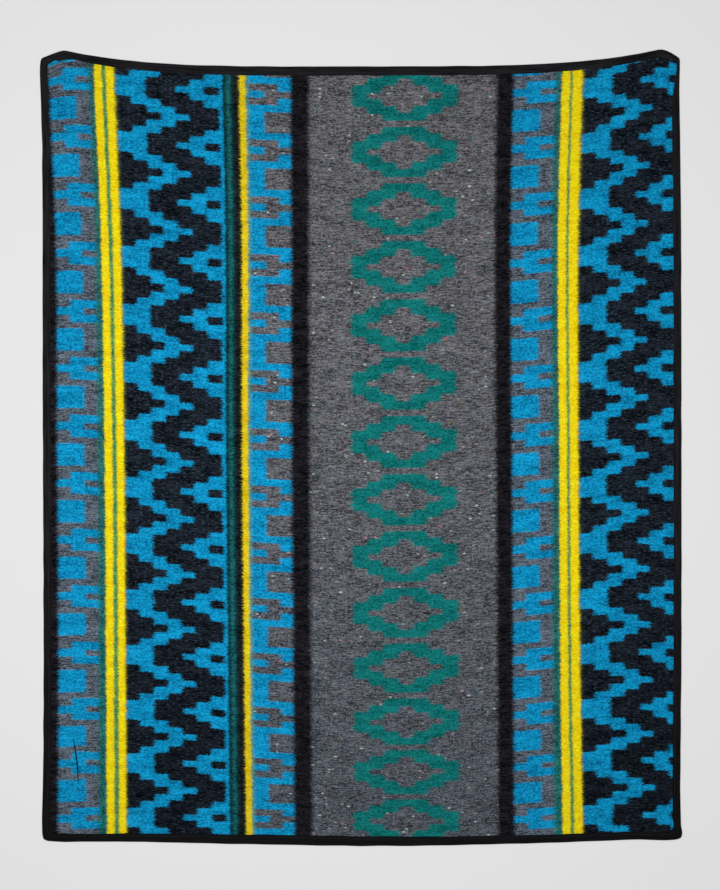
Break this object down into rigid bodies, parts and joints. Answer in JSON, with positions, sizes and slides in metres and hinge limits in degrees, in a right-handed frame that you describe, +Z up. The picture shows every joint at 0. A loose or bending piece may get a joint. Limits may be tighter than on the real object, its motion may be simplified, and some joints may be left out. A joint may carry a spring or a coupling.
{
  "type": "throw blanket",
  "caption": "Rectangular woven throw blanket lying flat face up, with bands of stepped zigzag, hook and diamond pattern and a dark tape folded over its edge.",
  "frame": {"origin": "centre of the blanket's outline, on the surface that it lies on", "axes": "+X to the right across the width and +Y along the length to the sagging top edge, as the face is seen from above; +Z up out of the face"},
  "size_m": [1.2823, 1.59, 0.0034],
  "materials": {
    "cloth": "brushed woven wool blend, matt",
    "binding": "fine ribbed tape, matt"
  },
  "bodies": {
    "root": {"cloth": "cloth", "binding_bottom": "binding", "binding_right": "binding", "binding_top": "binding", "binding_left": "binding"}
  },
  "joints": []
}
